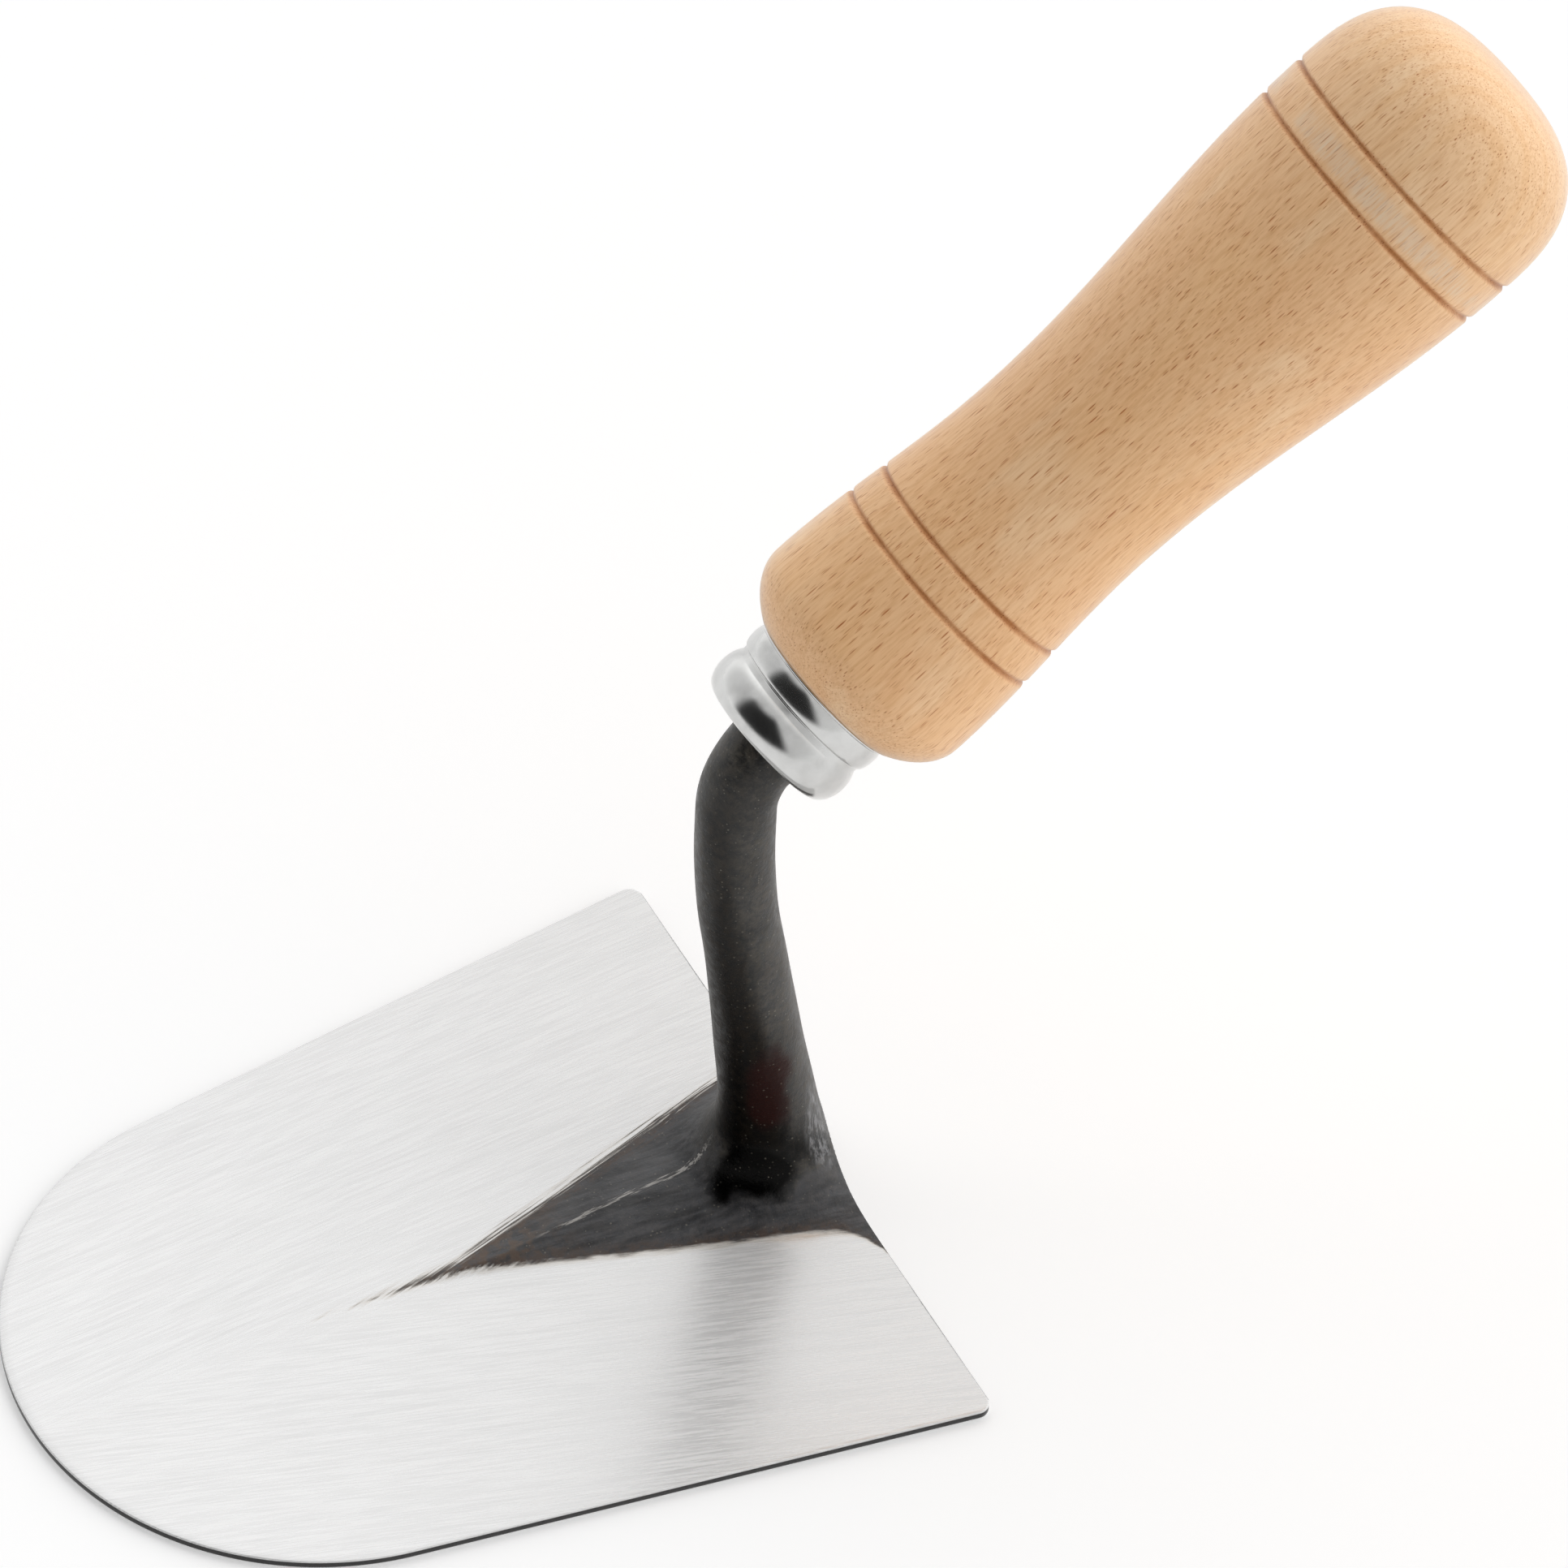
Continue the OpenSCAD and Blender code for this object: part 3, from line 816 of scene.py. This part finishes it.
    # Painted dark reflection: the lacquer gathered in front of the foot is painted near black
    black = w.blend(pooled_and_painted_dark, black, (0.003, 0.0028, 0.0025, 1))

    # Rubbed streaks on the foot, then dust
    rubbed = w.ease(off_spot(w, in_mm, (6.2, -6.6, 13.0), (2.8, 3.4, 12.0)), 0.5, 1.1, 1.0, 0.0)
    upright = lines_along(w, place, 80, 220.0, 1500.0, 4.0, about="Y")
    rubbed = w.math("MULTIPLY", rubbed, w.ease(upright, 0.42, 0.62, 0.2, 1.0))
    black = w.blend(rubbed, black, (0.2, 0.2, 0.205, 1))
    dust = w.group(SPECKS, Vector=place, Scale=2100.0, Size=0.3, Share=0.35)
    dusty = w.math("MULTIPLY", dust["Mask"], w.ease(dust["Random"], 0.3, 1.0, 0.05, 0.55))
    black = w.blend(dusty, black, (0.2, 0.185, 0.15, 1))

    thick = w.math("MAXIMUM", w.math("MAXIMUM", thick_runs_and_shade, pooled_and_painted_dark), red)
    # There the gloss is also taken almost away, as part of the painted dark reflection
    thick_sheen = w.level(pooled_and_painted_dark, w.ease(z, 22.0, 60.0, 0.85, 0.5), 0.85)
    sheen = w.level(thick, w.level(patches, 0.2, 0.0), thick_sheen)
    return black, sheen, w.level(pooled_and_painted_dark, w.level(mottle, 0.34, 0.5), 0.2), grain


def forged_finish():
    """Ground steel on the blade, and black lacquer over the spine and the neck."""
    material, w, shader = new_material("ground_and_lacquered_steel")
    place = w.node("ShaderNodeTexCoord").outputs["Object"]
    scaled = w.node("ShaderNodeVectorMath", operation="SCALE")
    w.feed(scaled.inputs[0], place)
    scaled.inputs["Scale"].default_value = 1000.0
    in_mm = scaled.outputs[0]
    x, y, z = w.parts(in_mm)
    left_half = w.ease(y, -6.0, 4.0)

    depth = lacquer_depth(w, place, x, y, left_half)
    on_blade_or_neck = w.math("MAXIMUM", w.ease(depth, -0.45, 0.4), w.ease(z, 4.2, 4.8))
    lacquered = w.math("MULTIPLY", on_blade_or_neck, w.ease(z, 0.15, 0.4))
    half_bare = w.math("MULTIPLY", bare_crest(w, place, x, y, z), 0.5)
    lacquered = w.math("MULTIPLY", lacquered, w.math("SUBTRACT", 1.0, half_bare))

    steel, steel_metal, steel_rough, lines = ground_steel(w, place, x, z, left_half, depth)
    black, black_metal, black_rough, grain = black_lacquer(w, place, in_mm, depth)
    w.feed(shader.inputs["Base Color"], w.blend(lacquered, steel, black))
    w.feed(shader.inputs["Metallic"], w.level(lacquered, steel_metal, black_metal))
    w.feed(shader.inputs["Roughness"], w.level(lacquered, steel_rough, black_rough))
    lacquer_height = w.math("ADD", w.math("MULTIPLY", grain, 1.8), 0.8)
    height = w.level(lacquered, w.math("MULTIPLY", lines, 0.04), lacquer_height)
    w.feed(shader.inputs["Normal"], relief(w, height, 0.00006))
    return material


def ferrule_finish():
    """Bright plating with a faint fine noise in its surface and smudges."""
    material, w, shader = new_material("bright_plating")
    place = w.node("ShaderNodeTexCoord").outputs["Object"]
    smudge = w.group(CLOUDS, Vector=place, Scale=160.0, Low=0.35, High=0.7)["Mask"]
    w.feed(shader.inputs["Base Color"], w.blend(smudge, (0.66, 0.66, 0.65, 1), (0.54, 0.54, 0.53, 1)))
    shader.inputs["Metallic"].default_value = 1.0
    w.feed(shader.inputs["Roughness"], w.level(smudge, 0.15, 0.22))
    w.feed(shader.inputs["Normal"], relief(w, w.noise(place, 260.0, 2.0), 0.000004))
    return material


def along_handle(w, place):
    """The place in a frame whose first axis is the handle's own, from the ferrule's front."""
    turn = Matrix.Rotation(HANDLE_A, 3, "Y")
    start = turn @ Vector(FERRULE_AT * MM)
    return w.placed(place, location=-start, rotation=(0, HANDLE_A, 0))


def wood_finish():
    """Clear beech: fine fibre, short brown flecks, growth rings, painted shade in the grooves and
    painted light at the butt.
    """
    material, w, shader = new_material("turned_beech")
    place = along_handle(w, w.node("ShaderNodeTexCoord").outputs["Object"])
    station = w.math("MULTIPLY", w.parts(place)[0], 1000.0)

    fibre = w.group(HAIRLINES, Vector=place, Along=160.0, Across=2400.0, Detail=3.0)["Lines"]
    broad = w.group(HAIRLINES, Vector=place, Along=16.0, Across=150.0, Detail=3.0)["Lines"]
    patches = w.group(CLOUDS, Vector=place, Scale=30.0, Low=0.35, High=0.65)["Mask"]
    tan = w.blend(broad, (1.0, 0.65, 0.35, 1), (0.88, 0.505, 0.235, 1))
    tan = w.blend(w.math("MULTIPLY", patches, 0.3), tan, (0.86, 0.53, 0.30, 1))
    pale = w.noise(w.placed(place, scale=(0.3, 1.0, 1.0)), 110.0, 3.0)
    tan = w.blend(w.ease(pale, 0.5, 0.72, 0.0, 0.6), tan, (1.0, 0.72, 0.45, 1))
    # Painted light: the wood turns paler towards the butt
    tan = w.blend(w.ease(station, 96.0, 128.0, 0.0, 0.4), tan, (0.97, 0.70, 0.44, 1))
    tan = w.tint(w.ease(fibre, 0.36, 0.7, 0.0, 0.8), tan, (0.87, 0.79, 0.70, 1))

    # Growth rings, round a pith that lies outside the wood, to the right of its axis and above it
    bent = w.node("ShaderNodeTexWave", wave_type="RINGS", rings_direction="X", wave_profile="SIN")
    w.feed(bent.inputs["Vector"], w.placed(place, location=(0.0, 0.021, -0.016)))
    for name, value in (("Scale", 85.0), ("Distortion", 5.0), ("Detail", 3.0), ("Detail Scale", 0.7)):
        bent.inputs[name].default_value = value
    rings = w.ease(bent.outputs["Fac"], 0.55, 0.95)
    end_grain = w.ease(station, 112.0, 126.0, 0.14, 0.42)
    tan = w.tint(w.math("MULTIPLY", rings, end_grain), tan, (0.93, 0.84, 0.7, 1))

    # Ray flecks: short dashes along the grain, many fine ones and fewer bold ones
    fine = w.group(SPECKS, Vector=w.placed(place, scale=(0.1, 1.0, 1.0)),
                   Scale=3600.0, Size=0.34, Share=0.95)
    bold = w.group(SPECKS, Vector=w.placed(place, location=(0.01, 0.02, 0.0), scale=(0.085, 1.0, 1.0)),
                   Scale=3000.0, Size=0.28, Share=0.8)
    brown = (0.6, 0.33, 0.17, 1)
    tan = w.tint(w.math("MULTIPLY", fine["Mask"], w.level(fine["Random"], 0.1, 0.65)), tan, brown)
    dark_brown = (0.55, 0.28, 0.12, 1)
    tan = w.tint(w.math("MULTIPLY", bold["Mask"], w.level(bold["Random"], 0.2, 1.0)), tan, dark_brown)

    # Painted shade in the grooves, uneven round the handle, and a rubbed pale belt between the last two
    uneven = w.noise(place, 160.0, 3.0)
    groove_shade = None
    for groove in GROOVES:
        away = w.math("ABSOLUTE", w.math("SUBTRACT", station, groove))
        near = w.ease(away, 0.1, 0.75, 1.0, 0.0)
        groove_shade = near if groove_shade is None else w.math("MAXIMUM", groove_shade, near)
    belt_at = (GROOVES[2] + GROOVES[3]) / 2 - 0.3
    off_belt = w.math("ABSOLUTE", w.math("SUBTRACT", station, belt_at))
    patchy = w.ease(w.noise(place, 90.0, 3.0), 0.42, 0.58)
    belt = w.math("MULTIPLY", w.ease(off_belt, 0.9, 2.3, 1.0, 0.0), patchy)
    belt = w.math("MULTIPLY", belt, w.ease(fibre, 0.35, 0.65, 0.5, 0.15))
    tan = w.blend(belt, tan, (0.78, 0.66, 0.52, 1))
    # Painted shade: the wood close to each groove is darkened, unevenly round the handle
    painted_groove_shade = w.math("MULTIPLY", groove_shade, w.ease(uneven, 0.3, 0.65, 0.5, 0.95))
    tan = w.tint(painted_groove_shade, tan, (0.6, 0.4, 0.22, 1))

    w.feed(shader.inputs["Base Color"], tan)
    w.feed(shader.inputs["Roughness"], w.level(fibre, 0.44, 0.62))
    shader.inputs["Sheen Weight"].default_value = 0.7
    shader.inputs["Sheen Roughness"].default_value = 0.3
    dashes = w.math("ADD", w.math("MULTIPLY", fine["Mask"], 0.5), bold["Mask"])
    height = w.math("SUBTRACT", w.math("MULTIPLY", fibre, 0.8), w.math("MULTIPLY", dashes, 0.12))
    w.feed(shader.inputs["Normal"], relief(w, height, 0.00005))
    return material


# ---------------------------------------------------------------- pieces

for make, finish, node, slot in (
    (forged_blade, forged_finish, "forged_blade", "forged_steel"),
    (ferrule, ferrule_finish, "ferrule", "plated_steel"),
    (handle, wood_finish, "handle", "beech"),
):
    piece = make()
    piece.data.materials.append(finish())
    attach(piece, "root")
    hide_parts(node)


# ---------------------------------------------------------------- floor, light and camera

# Direction from the object to the camera
CAMERA_AZIMUTH = math.radians(-30.55)
CAMERA_ELEVATION = math.radians(46.59)
CAMERA_BACK = Vector((
    math.sin(CAMERA_AZIMUTH) * math.cos(CAMERA_ELEVATION),
    -math.cos(CAMERA_AZIMUTH) * math.cos(CAMERA_ELEVATION),
    math.sin(CAMERA_ELEVATION),
))
CAMERA_ROLL = math.radians(4.06)
CAMERA_TARGET = (21.1, 35.1, 34.6)
CAMERA_DISTANCE = 1805.9
CAMERA_LENS = 298.03

# Dark gap in the light: level direction of its middle, and how far to each side it is dark
# and has faded out
GAP_TOWARDS = (-0.946, -0.326, 0)
GAP_DARK_TO = math.radians(36)
GAP_FADED_AT = math.radians(54)


def pale_floor():
    """A wide flat disc just under the sole."""
    around = np.linspace(0, 2 * math.pi, 96, endpoint=False)
    rim = np.stack([4 * np.cos(around), 4 * np.sin(around), np.full(96, -0.0001)], axis=-1)
    mesh = bpy.data.meshes.new("pale_floor")
    mesh.from_pydata(rim.tolist(), [], [list(range(96))])
    floor = bpy.data.objects.new("pale_floor", mesh)
    bpy.context.scene.collection.objects.link(floor)
    material, w, shader = new_material("white_paper")
    shader.inputs["Base Color"].default_value = (0.93, 0.93, 0.93, 1)
    shader.inputs["Roughness"].default_value = 0.9
    shader.inputs["Specular IOR Level"].default_value = 0.1
    shader.inputs["Emission Color"].default_value = (1, 1, 1, 1)
    shader.inputs["Emission Strength"].default_value = 0.18
    floor.data.materials.append(material)


def light_tent():
    """White light from all round, with one wide dark gap in front of the nose and to its right.

    The light is dimmer from the camera's side and from high in front on the left, and brighter
    from high behind the handle. The gap fades out low down and near the top.
    """
    world = bpy.data.worlds.new("light_tent")
    world.use_nodes = True
    bpy.context.scene.world = world
    w = Wiring(world.node_tree)
    direction = w.node("ShaderNodeTexCoord").outputs["Generated"]

    def facing(vector, towards):
        made = w.node("ShaderNodeVectorMath", operation="DOT_PRODUCT")
        w.feed(made.inputs[0], vector)
        made.inputs[1].default_value = Vector(towards).normalized()
        return made.outputs["Value"]

    level = w.ease(facing(direction, CAMERA_BACK), 0.0, 0.95, 1.15, 0.74)
    panel = w.ease(facing(direction, (0.8, 0.15, 0.6)), 0.45, 0.95, 0.0, 0.5)
    level = w.math("ADD", level, panel)
    dusk = w.ease(facing(direction, (-0.45, 0.75, 0.5)), 0.78, 1.0, 0.0, 0.35)
    level = w.math("SUBTRACT", level, dusk)

    flat = w.node("ShaderNodeVectorMath", operation="MULTIPLY")
    w.feed(flat.inputs[0], direction)
    flat.inputs[1].default_value = (1, 1, 0)
    level_dir = w.node("ShaderNodeVectorMath", operation="NORMALIZE")
    w.feed(level_dir.inputs[0], flat.outputs[0])
    to_gap = facing(level_dir.outputs[0], GAP_TOWARDS)
    gap = w.ease(to_gap, math.cos(GAP_FADED_AT), math.cos(GAP_DARK_TO))
    gap = w.math("MULTIPLY", gap, w.between(w.parts(direction)[2], (-0.02, 0.2), (0.82, 0.97)))
    light = w.math("MULTIPLY", level, w.math("SUBTRACT", 1.0, w.math("MULTIPLY", gap, 0.97)))

    shown = world.node_tree.nodes["Background"]
    shown.inputs["Color"].default_value = (1, 1, 1, 1)
    w.feed(shown.inputs["Strength"], light)


def studio_camera():
    """A long lens, high in front of the nose and to the right side, rolled a little."""
    roll = CAMERA_ROLL
    target = Vector(CAMERA_TARGET) * MM
    back = CAMERA_BACK
    right = (-back).cross(Vector((0, 0, 1))).normalized()
    down = (-back).cross(right)
    x_axis = math.cos(roll) * right - math.sin(roll) * down
    y_axis = -(math.sin(roll) * right + math.cos(roll) * down)
    place = target + back * CAMERA_DISTANCE * MM
    data = bpy.data.cameras.new("studio_camera")
    data.lens = CAMERA_LENS
    data.sensor_width = 36.0
    data.clip_start = 0.1
    data.clip_end = 20.0
    camera = bpy.data.objects.new("studio_camera", data)
    turn = Matrix((x_axis, y_axis, back)).transposed()
    camera.matrix_world = Matrix.Translation(place) @ turn.to_4x4()
    bpy.context.scene.collection.objects.link(camera)
    bpy.context.scene.camera = camera


pale_floor()
light_tent()
studio_camera()
bpy.context.scene.view_settings.view_transform = "Standard"
